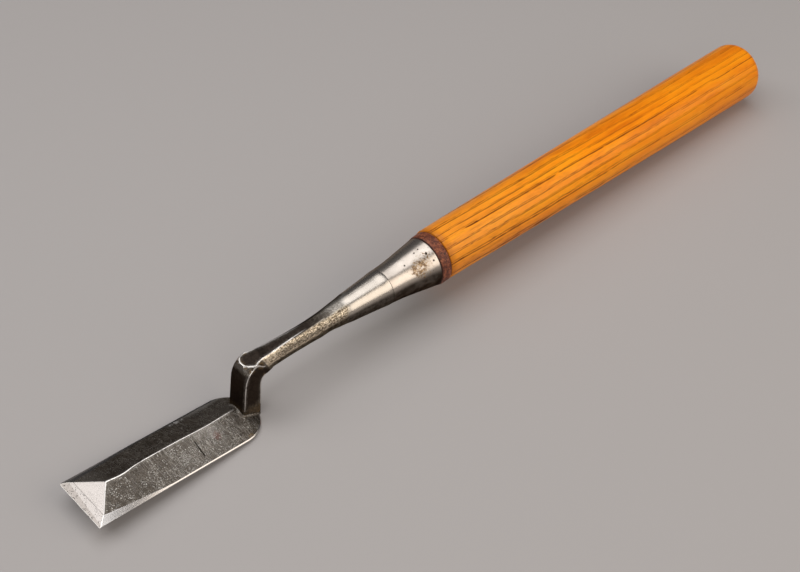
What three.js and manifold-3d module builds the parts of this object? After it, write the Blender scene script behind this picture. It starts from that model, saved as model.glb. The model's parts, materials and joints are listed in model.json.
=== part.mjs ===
// Cranked paring chisel (trowel chisel): a laminated, ridge-backed blade on a cranked neck, a conical
// ferrule, a leather washer and a long oak handle.
// Millimetres, +Z up. The chisel lies as it rests on a bench, on the heel of the blade and the butt of the
// handle. The origin is on the bench, at the middle of the chisel's footprint, and +X runs from the blade
// towards the butt.
//
// Two working frames are nested in that one:
//   tool frame   x from the cutting edge to the heel, y across the blade, z up from the flat sole
//   shank frame  x along the common axis of neck, ferrule, washer and handle, from the heel of the blade
import * as THREE from "three";
import { mergeVertices } from "three/addons/utils/BufferGeometryUtils.js";
import Module from "manifold-3d";

const wasm = await Module();
wasm.setup();

// ---- Driving dimensions: the blade, in the tool frame -------------------------------------------------
const BLADE_WIDTH = 24; // nominal size of the chisel
const HEEL_RADIUS = BLADE_WIDTH / 2; // the blade ends in a half round
const SIDE_LENGTH = 60; // straight side, from the cutting edge to the half round
const BLADE_LENGTH = SIDE_LENGTH + HEEL_RADIUS;
const RIDGE_HEIGHT = 5.0; // thickness at the middle ridge
const LAND_HEIGHT = 0.6; // thickness left at the sides
const BEVEL_ANGLE = 25.7; // degrees, cutting bevel above the sole
const HEEL_SLOPE = 0.5; // rise of the heel facet per millimetre inwards
const STEEL_THICKNESS = 1.6; // hard cutting steel under the soft iron
const WELD_GAP = 0.06; // between steel and iron, forge-welded on the real chisel
const HOLLOW_START = 8; // the hollow in the sole, from the cutting edge
const HOLLOW_END = 63;
const HOLLOW_WIDTH = 17;
const HOLLOW_DEPTH = 0.5;

// ---- The crank --------------------------------------------------------------------------------------
const COLUMN_FRONT = 64.3; // front face of the upright, from the cutting edge
const COLUMN_BACK = BLADE_LENGTH; // flush with the end of the blade
const COLUMN_WIDTH = 8.2;
const COLUMN_CORNER = 0.6;
const CRANK_TOP = 24.4; // top of the crank's front corner, above the sole

// ---- The shank: neck, ferrule, washer and handle on one axis ------------------------------------------
const SHANK_START = new THREE.Vector3(BLADE_LENGTH, 0, 20.9); // start of the axis, in the tool frame
const SHANK_RISE = 4.3; // degrees above the sole
const JOINT_AT = 59.5; // shoulder where the neck's flare meets the ferrule
const JOINT_RADIUS = 7.1;
const MOUTH_AT = 81;
const MOUTH_RADIUS = 10.1;
const FERRULE_WALL = 1.25;
const WASHER_THICKNESS = 4.9;
const WASHER_RADIUS = 10.5;
const HANDLE_START = MOUTH_AT + WASHER_THICKNESS;
const HANDLE_START_RADIUS = 10.6;
const HANDLE_END = 279.4;
const BUTT_RADIUS = 12.95;
const BUTT_ROUNDING = 5;
const BUTT_DOME = 0.8;
const NOSE_START = 62.5; // wooden nose inside the ferrule
const TANG_END = 140;
const TANG_ROOT = 6; // square section at the shoulder
const TANG_TIP = 2.6;
const FIT_GAP = 0.3; // between neighbouring pieces

const SEGMENTS = 48; // around the turned pieces
const HEEL_STEPS = 17; // along the half round; odd, so the chisel rests on a short flat at the heel
const CORNER_STEPS = 7; // points on each rounded corner of the neck's section

// ---- Geometry helpers ---------------------------------------------------------------------------------
function toSolid(geometry) {
  const bare = geometry.index ? geometry.toNonIndexed() : geometry.clone();
  bare.deleteAttribute("normal");
  bare.deleteAttribute("uv");
  const merged = mergeVertices(bare, 1e-4);
  const mesh = new wasm.Mesh({
    numProp: 3,
    vertProperties: new Float32Array(merged.attributes.position.array),
    triVerts: new Uint32Array(merged.index.array),
  });
  return new wasm.Manifold(mesh);
}

function toGeometry(solid) {
  const mesh = solid.getMesh();
  const geometry = new THREE.BufferGeometry();
  geometry.setAttribute("position", new THREE.BufferAttribute(mesh.vertProperties, 3));
  geometry.setIndex(new THREE.BufferAttribute(mesh.triVerts, 1));
  const flat = geometry.toNonIndexed();
  flat.computeVertexNormals();
  return flat;
}

// A profile of [x, radius] points turned round the X axis, with one of its facets level underneath.
function turned(profile) {
  const points = profile.map(([x, radius]) => new THREE.Vector2(radius, x));
  const geometry = new THREE.LatheGeometry(points, SEGMENTS, Math.PI / SEGMENTS);
  return geometry.rotateZ(-Math.PI / 2);
}

// An [y, z] outline extruded along X.
function extrudedAlongX(outline, start, length) {
  const shape = new THREE.Shape(outline.map(([y, z]) => new THREE.Vector2(y, z)));
  const geometry = new THREE.ExtrudeGeometry(shape, { depth: length, bevelEnabled: false });
  geometry.applyMatrix4(
    new THREE.Matrix4().makeBasis(
      new THREE.Vector3(0, 1, 0),
      new THREE.Vector3(0, 0, 1),
      new THREE.Vector3(1, 0, 0),
    ),
  );
  return geometry.translate(start, 0, 0);
}

function box(low, high) {
  const size = high.map((value, i) => value - low[i]);
  const middle = high.map((value, i) => (value + low[i]) / 2);
  return new THREE.BoxGeometry(...size).translate(...middle);
}

// A closed loft through rings that all have the same number of points.
function loft(rings) {
  const count = rings[0].length;
  const positions = rings.flat().flatMap((p) => [p.x, p.y, p.z]);
  const index = [];
  for (let r = 0; r + 1 < rings.length; r++) {
    for (let i = 0; i < count; i++) {
      const j = (i + 1) % count;
      const a = r * count + i;
      const b = r * count + j;
      index.push(a, b, b + count, a, b + count, a + count);
    }
  }
  const last = (rings.length - 1) * count;
  for (let i = 1; i + 1 < count; i++) {
    index.push(0, i + 1, i);
    index.push(last, last + i, last + i + 1);
  }
  const geometry = new THREE.BufferGeometry();
  geometry.setAttribute("position", new THREE.Float32BufferAttribute(positions, 3));
  geometry.setIndex(index);
  return geometry;
}

// Everything on the outer side of a plane, as a large block for cutting a corner away.
function cutterBeyond(point, normal, size = 30) {
  const turn = new THREE.Quaternion().setFromUnitVectors(new THREE.Vector3(0, 0, 1), normal);
  const block = new THREE.BoxGeometry(size, size, size).translate(0, 0, size / 2);
  return block.applyQuaternion(turn).translate(point.x, point.y, point.z);
}

// ---- Blade --------------------------------------------------------------------------------------------
function planSlab() {
  const half = BLADE_WIDTH / 2;
  const outline = [new THREE.Vector2(0, half), new THREE.Vector2(0, -half)];
  for (let i = 0; i <= HEEL_STEPS; i++) {
    const angle = Math.PI * (i / HEEL_STEPS - 0.5);
    outline.push(
      new THREE.Vector2(SIDE_LENGTH + HEEL_RADIUS * Math.cos(angle), HEEL_RADIUS * Math.sin(angle)),
    );
  }
  const extrusion = { depth: RIDGE_HEIGHT + 1, bevelEnabled: false };
  return toSolid(new THREE.ExtrudeGeometry(new THREE.Shape(outline), extrusion));
}

// The whole laminated blade as one solid: a half-round-ended plan, a middle ridge, a heel facet and the
// bevel, with the foot of the crank standing in it.
function bladeBlank() {
  const half = BLADE_WIDTH / 2;
  const slab = planSlab();

  const roof = extrudedAlongX(
    [[-half, -1], [half, -1], [half, LAND_HEIGHT], [0, RIDGE_HEIGHT], [-half, LAND_HEIGHT]],
    -5,
    BLADE_LENGTH + 10,
  );

  const heelTop = LAND_HEIGHT + HEEL_SLOPE * HEEL_RADIUS;
  const cone = turned([
    [-1, 0],
    [-1, HEEL_RADIUS + 1],
    [LAND_HEIGHT - HEEL_SLOPE, HEEL_RADIUS + 1],
    [heelTop, 0],
  ]);
  const heel = toSolid(cone.rotateY(-Math.PI / 2).translate(SIDE_LENGTH, 0, 0));
  const front = toSolid(box([-5, -half - 1, -1], [SIDE_LENGTH, half + 1, heelTop]));

  const bevelRun = 20;
  const bevelRise = bevelRun * Math.tan(THREE.MathUtils.degToRad(BEVEL_ANGLE));
  const bevel = extrudedSideways([[-1, 0], [0, 0], [bevelRun, bevelRise], [-1, bevelRise]], BLADE_WIDTH + 4);

  const faceted = toSolid(roof).intersect(heel.add(front)).subtract(toSolid(bevel));
  const foot = toSolid(
    box([COLUMN_FRONT, -COLUMN_WIDTH / 2, 0], [BLADE_LENGTH, COLUMN_WIDTH / 2, STEEL_THICKNESS + 1]),
  );
  return slab.intersect(faceted.add(foot));
}

// An [x, z] outline extruded across the blade, centred on y = 0.
function extrudedSideways(outline, width) {
  const shape = new THREE.Shape(outline.map(([x, z]) => new THREE.Vector2(x, z)));
  const geometry = new THREE.ExtrudeGeometry(shape, { depth: width, bevelEnabled: false });
  return geometry.rotateX(Math.PI / 2).translate(0, width / 2, 0);
}

function cuttingSteel(blank) {
  const layer = toSolid(box([-1, -20, -1], [BLADE_LENGTH + 1, 20, STEEL_THICKNESS - WELD_GAP / 2]));
  const middle = (HOLLOW_START + HOLLOW_END) / 2;
  const dish = new THREE.SphereGeometry(1, 48, 24)
    .scale((HOLLOW_END - HOLLOW_START) / 2, HOLLOW_WIDTH / 2, HOLLOW_DEPTH)
    .translate(middle, 0, 0);
  return blank.intersect(layer).subtract(toSolid(dish));
}

// ---- Crank and neck -----------------------------------------------------------------------------------
// A rounded rectangle spanned between an inner and an outer point of the crank's side view.
function neckRing({ outer, inner, width, corner }) {
  const out = new THREE.Vector3(outer[0], 0, outer[1]);
  const inside = new THREE.Vector3(inner[0], 0, inner[1]);
  const middle = out.clone().add(inside).multiplyScalar(0.5);
  const up = out.clone().sub(inside);
  const halfHeight = up.length() / 2;
  up.normalize();
  const halfWidth = width / 2;
  const round = Math.min(corner, halfHeight, halfWidth);
  const ring = [];
  for (let quarter = 0; quarter < 4; quarter++) {
    const signY = quarter === 0 || quarter === 3 ? 1 : -1;
    const signUp = quarter < 2 ? 1 : -1;
    for (let step = 0; step < CORNER_STEPS; step++) {
      const angle = (quarter + (step + 0.5) / CORNER_STEPS) * (Math.PI / 2);
      const y = signY * (halfWidth - round) + round * Math.cos(angle);
      const rise = signUp * (halfHeight - round) + round * Math.sin(angle);
      ring.push(middle.clone().addScaledVector(up, rise).add(new THREE.Vector3(0, y, 0)));
    }
  }
  return ring;
}

// A point of the shank axis in the tool frame, raised at right angles to it.
function onShank(along, above) {
  const rise = THREE.MathUtils.degToRad(SHANK_RISE);
  return [
    SHANK_START.x + along * Math.cos(rise) - above * Math.sin(rise),
    SHANK_START.z + along * Math.sin(rise) + above * Math.cos(rise),
  ];
}

// The upright, from inside the blade to the start of the bend.
function columnStations() {
  const heights = [2.2, 6, 10, 14];
  return heights.map((z) => ({
    outer: [COLUMN_FRONT, z],
    inner: [COLUMN_BACK, z],
    width: COLUMN_WIDTH,
    corner: COLUMN_CORNER,
  }));
}

// The bend: a tight outer corner and a wider inner fillet.
function bendStations() {
  const sidePath = (points) => {
    return new THREE.CatmullRomCurve3(points.map(([x, z]) => new THREE.Vector3(x, 0, z)));
  };
  const outerPath = sidePath([
    [COLUMN_FRONT, 19],
    [COLUMN_FRONT + 0.2, 22.3],
    [COLUMN_FRONT + 1.1, 23.9],
    [COLUMN_FRONT + 3.3, CRANK_TOP + 0.1],
    [BLADE_LENGTH, 25.0],
  ]);
  const innerPath = sidePath([
    [COLUMN_BACK + 0.05, 15],
    [COLUMN_BACK + 0.35, 16.5],
    [COLUMN_BACK + 1.35, 17.7],
    [COLUMN_BACK + 2.8, 18.2],
    [COLUMN_BACK + 4.6, 18.3],
  ]);
  const steps = 8;
  const stations = [];
  for (let i = 0; i <= steps; i++) {
    const share = i / steps;
    const a = outerPath.getPoint(share);
    const b = innerPath.getPoint(share);
    stations.push({
      outer: [a.x, a.z],
      inner: [b.x, b.z],
      width: COLUMN_WIDTH - 0.6 * share,
      corner: COLUMN_CORNER + 0.4 * share,
    });
  }
  return stations;
}

// The neck: flat-topped behind the bend, fully round where it flares towards the ferrule.
function neckStations() {
  const raised = 0.35; // the forged neck lies a little above the handle's axis until it flares
  const sections = [
    { along: 8, half: 3.55, corner: 1.9, lift: raised },
    { along: 13, half: 3.5, corner: 2.2, lift: raised },
    { along: 20, half: 3.55, corner: 2.6, lift: raised },
    { along: 27, half: 3.8, corner: 3.1, lift: raised },
    { along: 33, half: 4.3, corner: 4.3, lift: raised },
    { along: 38.5, half: 4.95, corner: 4.95, lift: raised },
    { along: 46.5, half: 5.75, corner: 5.75, lift: 0.25 },
    { along: 54, half: 6.5, corner: 6.5, lift: 0.1 },
    { along: JOINT_AT, half: JOINT_RADIUS, corner: JOINT_RADIUS, lift: 0 },
  ];
  return sections.map(({ along, half, corner, lift }) => ({
    outer: onShank(along, lift + half),
    inner: onShank(along, lift - half),
    width: 2 * half,
    corner,
  }));
}

// The two facets ground across the crank's front corners, as cutters.
function crankFacets() {
  const low = new THREE.Vector3(65.0, -3.8, 17.5);
  const front = new THREE.Vector3(66.7, -1.2, CRANK_TOP);
  const side = new THREE.Vector3(70.1, -4, CRANK_TOP);
  const normal = low.clone().sub(front).cross(side.clone().sub(front)).normalize();
  const right = toSolid(cutterBeyond(front, normal));
  return right.add(right.mirror([0, 1, 0]));
}

// The square, tapered tang, from inside the flare to its tip, in the tool frame.
function tangRings() {
  const stations = [
    { along: JOINT_AT - 1, half: TANG_ROOT / 2 },
    { along: TANG_END - 4, half: TANG_TIP / 2 },
    { along: TANG_END, half: TANG_TIP / 5 },
  ];
  return stations.map(({ along, half }) => {
    const corners = [[1, 1], [-1, 1], [-1, -1], [1, -1]];
    return corners.map(([side, up]) => {
      const [x, z] = onShank(along, up * half);
      return new THREE.Vector3(x, side * half, z);
    });
  });
}

function forgedIron(blank) {
  const above = toSolid(
    box([-1, -20, STEEL_THICKNESS + WELD_GAP / 2], [BLADE_LENGTH + 1, 20, RIDGE_HEIGHT + 1]),
  );
  const stations = [...columnStations(), ...bendStations(), ...neckStations()];
  const neck = toSolid(loft(stations.map(neckRing)));
  const ground = neck.subtract(crankFacets());
  const tang = toSolid(loft(tangRings()));
  return blank.intersect(above).add(ground).add(tang);
}

// ---- Turned pieces, in the shank frame ------------------------------------------------------------------
// A cone that opens a little faster towards its mouth.
function ferrule() {
  const start = JOINT_AT + FIT_GAP / 3;
  const lip = 0.35;
  return turned([
    [start, JOINT_RADIUS - FERRULE_WALL],
    [start, JOINT_RADIUS],
    [64, 7.53],
    [68.2, 8.08],
    [72.5, 8.72],
    [76.8, 9.4],
    [MOUTH_AT - lip, MOUTH_RADIUS],
    [MOUTH_AT, MOUTH_RADIUS - lip],
    [MOUTH_AT, MOUTH_RADIUS - FERRULE_WALL],
    [start, JOINT_RADIUS - FERRULE_WALL],
  ]);
}

const noseRadiusAt = (x) => {
  const share = (x - JOINT_AT) / (MOUTH_AT - JOINT_AT);
  return THREE.MathUtils.lerp(JOINT_RADIUS, MOUTH_RADIUS, share) - FERRULE_WALL - FIT_GAP;
};

function washer() {
  const start = MOUTH_AT + FIT_GAP / 2;
  const end = HANDLE_START - FIT_GAP / 2;
  const hole = noseRadiusAt(MOUTH_AT) + FIT_GAP;
  return turned([
    [start, hole],
    [start, WASHER_RADIUS - 0.5],
    [start + 0.5, WASHER_RADIUS - 0.08],
    [(start + end) / 2, WASHER_RADIUS],
    [end - 0.5, WASHER_RADIUS - 0.08],
    [end, WASHER_RADIUS - 0.5],
    [end, hole],
    [start, hole],
  ]);
}

function handle() {
  const profile = [
    [NOSE_START, 0],
    [NOSE_START, noseRadiusAt(NOSE_START)],
    [MOUTH_AT, noseRadiusAt(MOUTH_AT)],
    [HANDLE_START, noseRadiusAt(MOUTH_AT)],
    [HANDLE_START, HANDLE_START_RADIUS - 0.3],
    [HANDLE_START + 0.3, HANDLE_START_RADIUS],
  ];
  const roundingStart = HANDLE_END - BUTT_DOME - BUTT_ROUNDING;
  profile.push([roundingStart, BUTT_RADIUS]);
  const steps = 6;
  for (let i = 1; i <= steps; i++) {
    const angle = (i / steps) * (Math.PI / 2);
    profile.push([
      roundingStart + BUTT_ROUNDING * Math.sin(angle),
      BUTT_RADIUS - BUTT_ROUNDING * (1 - Math.cos(angle)),
    ]);
  }
  const domeRadius = BUTT_RADIUS - BUTT_ROUNDING;
  for (const share of [0.66, 0.33]) {
    profile.push([HANDLE_END - BUTT_DOME * share * share, domeRadius * share]);
  }
  profile.push([HANDLE_END, 0]);

  const hole = [
    { along: NOSE_START - 1, half: tangHalfAt(NOSE_START - 1) + FIT_GAP },
    { along: TANG_END + 3, half: tangHalfAt(TANG_END - 4) + FIT_GAP },
  ];
  const rings = hole.map(({ along, half }) =>
    [[1, 1], [-1, 1], [-1, -1], [1, -1]].map(([y, z]) => new THREE.Vector3(along, y * half, z * half)),
  );
  return toGeometry(toSolid(turned(profile)).subtract(toSolid(loft(rings))));
}

function tangHalfAt(x) {
  const share = (x - JOINT_AT + 1) / (TANG_END - 4 - JOINT_AT + 1);
  return THREE.MathUtils.lerp(TANG_ROOT / 2, TANG_TIP / 2, Math.min(share, 1));
}

// ---- Materials ------------------------------------------------------------------------------------------
const metal = (color, roughness) => new THREE.MeshStandardMaterial({ color, roughness, metalness: 1 });
const HARD_STEEL = metal(0xb9b3ae, 0.28);
const FORGED_IRON = metal(0x5b5652, 0.42);
const TURNED_IRON = metal(0xa39a90, 0.3);
const LEATHER = new THREE.MeshStandardMaterial({ color: 0x5f2a1c, roughness: 0.7, metalness: 0 });
const OAK = new THREE.MeshStandardMaterial({ color: 0xd88722, roughness: 0.35, metalness: 0 });

// ---- Assembly -------------------------------------------------------------------------------------------
function named(name, geometry, material) {
  const mesh = new THREE.Mesh(geometry, material);
  mesh.name = name;
  return mesh;
}

// The tilt that brings heel and butt to one level: the tangent from the heel to the rounding of the butt.
function restTilt() {
  const [x, z] = onShank(HANDLE_END - BUTT_DOME - BUTT_ROUNDING, -(BUTT_RADIUS - BUTT_ROUNDING));
  const dx = x - BLADE_LENGTH;
  return Math.atan2(z, dx) - Math.asin(BUTT_ROUNDING / Math.hypot(dx, z));
}

const blank = bladeBlank();
const shank = new THREE.Group();
shank.position.copy(SHANK_START);
shank.rotation.y = -THREE.MathUtils.degToRad(SHANK_RISE);
shank.add(
  named("conical_ferrule", ferrule(), TURNED_IRON),
  named("leather_washer", washer(), LEATHER),
  named("oak_handle", handle(), OAK),
);

const tool = new THREE.Group();
tool.add(
  named("cutting_steel", toGeometry(cuttingSteel(blank)), HARD_STEEL),
  named("forged_iron_body", toGeometry(forgedIron(blank)), FORGED_IRON),
  shank,
);
tool.rotation.y = restTilt();

const chisel = new THREE.Group();
chisel.add(tool);
const bounds = new THREE.Box3().setFromObject(chisel, true);
tool.position.set(-(bounds.min.x + bounds.max.x) / 2, 0, -bounds.min.z);

export default chisel;
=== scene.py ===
"""Detailed meshes and procedural materials of the cranked paring chisel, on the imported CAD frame."""
import json
import math

import bpy
import bmesh
import numpy as np
from mathutils import Matrix, Vector
from mathutils.kdtree import KDTree


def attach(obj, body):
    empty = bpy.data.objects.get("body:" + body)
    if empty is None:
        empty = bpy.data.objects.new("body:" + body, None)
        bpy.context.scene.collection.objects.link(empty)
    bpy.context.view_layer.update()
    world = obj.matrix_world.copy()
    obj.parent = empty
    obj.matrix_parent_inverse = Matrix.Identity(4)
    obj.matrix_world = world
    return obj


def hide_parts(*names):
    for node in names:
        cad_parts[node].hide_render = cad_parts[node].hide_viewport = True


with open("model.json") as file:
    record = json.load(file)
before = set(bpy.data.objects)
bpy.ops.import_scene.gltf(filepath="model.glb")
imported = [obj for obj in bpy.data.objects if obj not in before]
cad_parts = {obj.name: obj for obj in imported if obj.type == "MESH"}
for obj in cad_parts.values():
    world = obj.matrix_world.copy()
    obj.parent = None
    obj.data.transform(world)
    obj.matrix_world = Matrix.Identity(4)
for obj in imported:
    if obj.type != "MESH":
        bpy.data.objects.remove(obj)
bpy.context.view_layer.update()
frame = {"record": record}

# ---- The tool frame, from the record's sole mount ----
# Shapes below are in millimetres in one of two frames, as in the CAD:
#   tool frame   x from the cutting edge to the heel, y across the blade, z up from the flat sole
#   shank frame  x along the axis of neck, ferrule, washer and handle, from the heel of the blade
MM = 0.001
SOLE_POINT = 67.5  # the mount's distance from the cutting edge
BLADE_LENGTH = 72.0
SHANK_HEIGHT = 20.9
SHANK_RISE = math.radians(4.3)

sole = frame["record"]["mounts"][0]
tool_up = -Vector(sole["axis"]).normalized()
tool_side = Vector((0, 1, 0))
tool_along = tool_side.cross(tool_up)
tool_origin = Vector(sole["pos_m"]) - tool_along * SOLE_POINT * MM
TOOL = Matrix.Translation(tool_origin) @ Matrix((tool_along, tool_side, tool_up)).transposed().to_4x4()
TOOL = TOOL @ Matrix.Scale(MM, 4)
SHANK = TOOL @ Matrix.Translation((BLADE_LENGTH, 0, SHANK_HEIGHT)) @ Matrix.Rotation(-SHANK_RISE, 4, "Y")

# ---- Driving dimensions, in millimetres ----
HALF = 12.0  # half width of the blade, and radius of its round heel
HALF_LEFT = 11.9
SIDE_LENGTH = 60.0
RIDGE = 4.95
LAND_RIGHT = 0.6
LAND_LEFT = 0.4
HEEL_SLOPE = 0.5
HEEL_LAND = 0.55
RIM_SLOPE = 0.9
BEVEL = math.tan(math.radians(25.7))
SEAM = 0.006  # between iron and steel
HOLLOW = dict(start=8.0, end=63.0, width=17.0, depth=0.5)
COLUMN = dict(front=64.1, back=72.0, half=4.15)
FOOT_FILLET = 0.7

JOINT = 59.5  # along the shank: end of the neck's flare, start of the ferrule
MOUTH = 81.0
HANDLE_START = 85.9
HANDLE_END = 279.4
NOSE_START = 62.5
TANG_END = 140.0
OFF_AXIS = (-0.3, -0.22)  # ferrule mouth and washer sit a little off the handle's axis, in y and z


# ---- Mesh helpers ----
def make(name, points, faces, place):
    """A smooth mesh object from points in a working frame."""
    points = np.asarray(points, float)
    matrix = np.array(place)
    world = points @ matrix[:3, :3].T + matrix[:3, 3]
    mesh = bpy.data.meshes.new(name)
    mesh.from_pydata(world.tolist(), [], [list(map(int, f)) for f in faces])
    mesh.validate()
    obj = bpy.data.objects.new(name, mesh)
    bpy.context.scene.collection.objects.link(obj)
    tidy(obj)
    return obj


def tidy(obj, merge=2e-6):
    """Merges coincident points, turns the faces outwards and shades smooth between the real arrises."""
    work = bmesh.new()
    work.from_mesh(obj.data)
    bmesh.ops.remove_doubles(work, verts=work.verts, dist=merge)
    bmesh.ops.dissolve_degenerate(work, edges=work.edges, dist=merge)
    bmesh.ops.recalc_face_normals(work, faces=work.faces)
    work.to_mesh(obj.data)
    work.free()
    obj.data.shade_smooth()
    obj.data.set_sharp_from_angle(angle=math.radians(38))


def sheet_faces(rows, columns, offset=0, flip=False):
    faces = []
    for r in range(rows - 1):
        for c in range(columns - 1):
            a = offset + r * columns + c
            quad = (a, a + 1, a + columns + 1, a + columns)
            faces.append(quad[::-1] if flip else quad)
    return faces


def rim(rows, columns):
    """Indices round the border of a sheet of points, in order."""
    top = list(range(columns))
    right = [r * columns + columns - 1 for r in range(1, rows)]
    bottom = [(rows - 1) * columns + c for c in range(columns - 2, -1, -1)]
    left = [r * columns for r in range(rows - 2, 0, -1)]
    return top + right + bottom + left


def slab(upper, lower):
    """A closed body between two sheets of points with the same rows and columns."""
    rows, columns = upper.shape[:2]
    count = rows * columns
    points = np.concatenate([upper.reshape(-1, 3), lower.reshape(-1, 3)])
    faces = sheet_faces(rows, columns) + sheet_faces(rows, columns, count, flip=True)
    border = rim(rows, columns)
    for a, b in zip(border, border[1:] + border[:1]):
        faces.append((a, b, b + count, a + count))
    return points, faces


def tube_faces(rings, count):
    faces = []
    for r in range(rings - 1):
        for i in range(count):
            j = (i + 1) % count
            faces.append((r * count + i, r * count + j, (r + 1) * count + j, (r + 1) * count + i))
    return faces


def wobble(x, y, seed, scale, amount):
    """A smooth, repeatable unevenness over a surface, as handwork leaves."""
    rng = np.random.default_rng(seed)
    total = np.zeros_like(np.asarray(x, float) + np.asarray(y, float))
    for _ in range(6):
        angle, phase, stretch = rng.uniform(0, math.tau), rng.uniform(0, math.tau), rng.uniform(0.6, 1.7)
        total += np.sin((x * math.cos(angle) + y * math.sin(angle)) * stretch / scale + phase)
    return total * amount / 6


def soft_min(a, b, blend):
    return -blend * np.logaddexp(-a / blend, -b / blend)


def run(start, end, count, close=(0.08, 0.22, 0.5)):
    """Stations from start to end, close together at both ends so that the arrises there stay crisp."""
    length = end - start
    lead = [min(c, length * 0.07 * (i + 1)) for i, c in enumerate(close)]
    inner = np.linspace(start + lead[-1], end - lead[-1], count)
    first = [start] + [start + c for c in lead[:-1]]
    last = [end - c for c in lead[-2::-1]] + [end]
    return np.concatenate([first, inner, last])


# ---- The blade's upper surface ----
def ridge_side(x):
    """The ridge was ground by eye, so it wanders a little to the right along its length."""
    wander = -0.75 * np.exp(-(((x - 16) / 4.5) ** 2)) - 0.45 * np.exp(-(((x - 50) / 8) ** 2)) - 0.1
    return wander * np.clip(x / 6.0, 0, 1)


STRIP_AT = (0, 3, 6.4, 10.9, 13.5, 16.6, 21, 25, 29)  # stations along the honed strip
STRIP_WIDTH = (3.1, 2.7, 2.25, 1.85, 1.66, 1.38, 0.96, 0.6, 0.3)
EDGE_LAND = (0.2, 0.2, 0.2, 0.2, 0.21, 0.24, 0.31, 0.38, 0.44)  # wall left below the strip


def strip_width(x):
    return np.interp(x, STRIP_AT, STRIP_WIDTH)


def edge_land(x):
    return np.interp(x, STRIP_AT, EDGE_LAND)


def weld_height(x):
    """Top of the hard steel layer: thick at the cutting edge, thinner towards the heel."""
    along_strip = LAND_RIGHT + strip_width(x) * (RIDGE - LAND_RIGHT) / HALF
    return np.where(np.asarray(x) < 3.3, 1.6, along_strip)


WELD = float(weld_height(0))
WELD_FRONT = WELD / BEVEL


def strip_slope(x):
    """Slope of the strip honed along both sides, from its wall up to its arris with the facet."""
    return (LAND_RIGHT - edge_land(x)) / strip_width(x) + (RIDGE - LAND_RIGHT) / HALF


def upper_surface(x, y):
    """Height of the blade above the sole: side facets, round heel facet, strip and bevel."""
    middle = ridge_side(x)
    left = LAND_LEFT + (HALF_LEFT - y) * (RIDGE - LAND_LEFT) / (HALF_LEFT - middle)
    right = LAND_RIGHT + (HALF + y) * (RIDGE - LAND_RIGHT) / (HALF + middle)
    inland = np.clip(np.minimum(HALF + y, HALF_LEFT - y) / 3, 0, 1)
    roof = soft_min(left, right, 0.06) + wobble(x, y, 3, 5.0, 0.035) * inland
    radius = np.hypot(np.maximum(x - SIDE_LENGTH, 0), y)
    cone = HEEL_LAND + (HALF - radius) * HEEL_SLOPE + np.maximum(SIDE_LENGTH + 2 - x, 0) * 0.4
    cone = cone + wobble(x, y, 8, 2.5, 0.04) * inland
    height = soft_min(roof, cone, 0.06)
    out = np.where(y < 0, HALF, HALF_LEFT) - np.abs(y)
    strip = edge_land(x) + strip_slope(x) * out
    rim = edge_land(x) + RIM_SLOPE * (HALF - radius)
    height = soft_min(height, np.where(x < SIDE_LENGTH, strip, rim), 0.015)
    height = soft_min(height, x * BEVEL, 0.03)
    gap_x = np.maximum(COLUMN["front"] - x, x - COLUMN["back"])
    gap = np.hypot(np.maximum(gap_x, 0), np.maximum(np.abs(y) - COLUMN["half"], 0))
    inside = np.clip(FOOT_FILLET - gap, 0, FOOT_FILLET * 0.96)
    return height + FOOT_FILLET - np.sqrt(FOOT_FILLET**2 - inside**2)


def side_of(q):
    """Half width, wall height and sign of the side on which a blade row lies."""
    return (HALF, LAND_RIGHT, -1) if q < 0 else (HALF_LEFT, LAND_LEFT, 1)


def side_at(x, q):
    """y of a blade row: 0 is the ridge, 1 the weld line and 2 the side, negative on the right."""
    middle = ridge_side(x)
    half, land, sign = side_of(q)
    reach = half - sign * middle
    weld = 1 - (weld_height(x) - land) / (RIDGE - land)
    share = abs(q) * weld if abs(q) <= 1 else weld + (abs(q) - 1) * (1 - weld)
    return middle + sign * share * reach


def bevel_end(q):
    """Where a row meets the upper arris of the bevel."""
    half, land, sign = side_of(q)
    x = 3.0
    for _ in range(40):
        out = half - abs(float(side_at(x, q)))
        roof = land + out * (RIDGE - land) / (half - sign * float(ridge_side(x)))
        strip = float(edge_land(x) + strip_slope(x) * out)
        x = 0.5 * x + 0.5 * min(roof, strip) / BEVEL
    return x


def outline_end(y, radius):
    """End of the blade along a row: the round heel, square where the upright stands on it."""
    y = abs(y)
    circle = SIDE_LENGTH + math.sqrt(max(radius**2 - min(y, radius) ** 2, 0))
    square = min(max((COLUMN["half"] + 0.5 - y) / 0.5, 0), 1)
    square = square * square * (3 - 2 * square)
    return circle + (COLUMN["back"] - 0.012 * (HALF - radius) - circle) * square


WELD_RADIUS = HALF - (weld_height(SIDE_LENGTH + 2) - HEEL_LAND) / HEEL_SLOPE


def cone_start(y):
    """Where a row meets the arris of the heel facet."""
    radius = HALF - (HALF - abs(y)) * (RIDGE - LAND_RIGHT) / HALF / HEEL_SLOPE
    circle = math.sqrt(max(radius**2 - y**2, 0)) if radius > abs(y) else 0
    return SIDE_LENGTH + max(circle, 1.5)


FINE = (0.006, 0.016, 0.035, 0.07, 0.12, 0.18, 0.24, 0.285, 0.315, 0.333, 0.35, 0.37, 0.4, 0.45)


def both_sides(one):
    return [-q for q in one[::-1]] + [0.0001] + list(one)


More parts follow.
